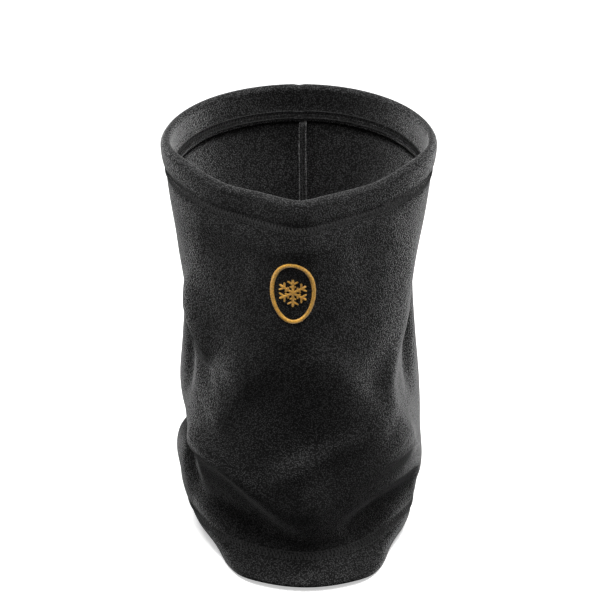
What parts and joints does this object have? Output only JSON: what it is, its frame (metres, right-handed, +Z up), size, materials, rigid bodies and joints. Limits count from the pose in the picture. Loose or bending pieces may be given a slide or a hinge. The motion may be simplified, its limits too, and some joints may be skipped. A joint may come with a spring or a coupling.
{
  "type": "neck gaiter",
  "caption": "Fleece neck gaiter shaped as worn over the nose: a sewn tube with coverstitched hems, a back seam, a gold emblem and a care label inside.",
  "frame": {"origin": "centre of the bottom hem, at the height of its lower edge", "axes": "+Z up along the tube, -Y the way the wearer faces, +X to the wearer's left"},
  "size_m": [0.1757, 0.21, 0.268],
  "materials": {
    "black_fleece": "matt brushed microfleece with a short anti-pill nap",
    "black_thread": "spun polyester sewing thread",
    "gold_thread": "rayon embroidery thread with a silky sheen",
    "stabiliser": "thin non-woven backing",
    "label_tape": "blank woven satin tape"
  },
  "bodies": {
    "neck_tube": {"fleece_tube": "black_fleece", "bottom_hem_turnback": "black_fleece", "back_seam_allowance": "black_fleece", "back_seam_overlock_thread": "black_thread", "care_label_stitch": "black_thread", "bottom_hem_needle_thread_lower": "black_thread", "bottom_hem_needle_thread_upper": "black_thread", "bottom_hem_cover_thread": "black_thread", "bottom_hem_looper_thread": "black_thread"},
    "face_edge": {"top_hem": "black_fleece", "top_hem_needle_thread_lower": "black_thread", "top_hem_needle_thread_upper": "black_thread", "top_hem_cover_thread": "black_thread", "top_hem_looper_thread": "black_thread", "emblem_border": "gold_thread", "emblem_snowflake": "gold_thread", "emblem_backing": "stabiliser"},
    "care_label": {"care_label": "label_tape"}
  },
  "joints": [
    {"name": "pull_down", "type": "slide", "parent": "neck_tube", "child": "face_edge", "axis": [0, 0, -1], "range_m": [0, 0.07], "deforming": ["fleece_tube", "back_seam_allowance", "back_seam_overlock_thread"]},
    {"name": "care_label_swing", "type": "hinge", "parent": "neck_tube", "child": "care_label", "pos_m": [0.0076, 0.0885, 0.0355], "axis": [0, 0, 1], "range_deg": [-80, 12]}
  ]
}
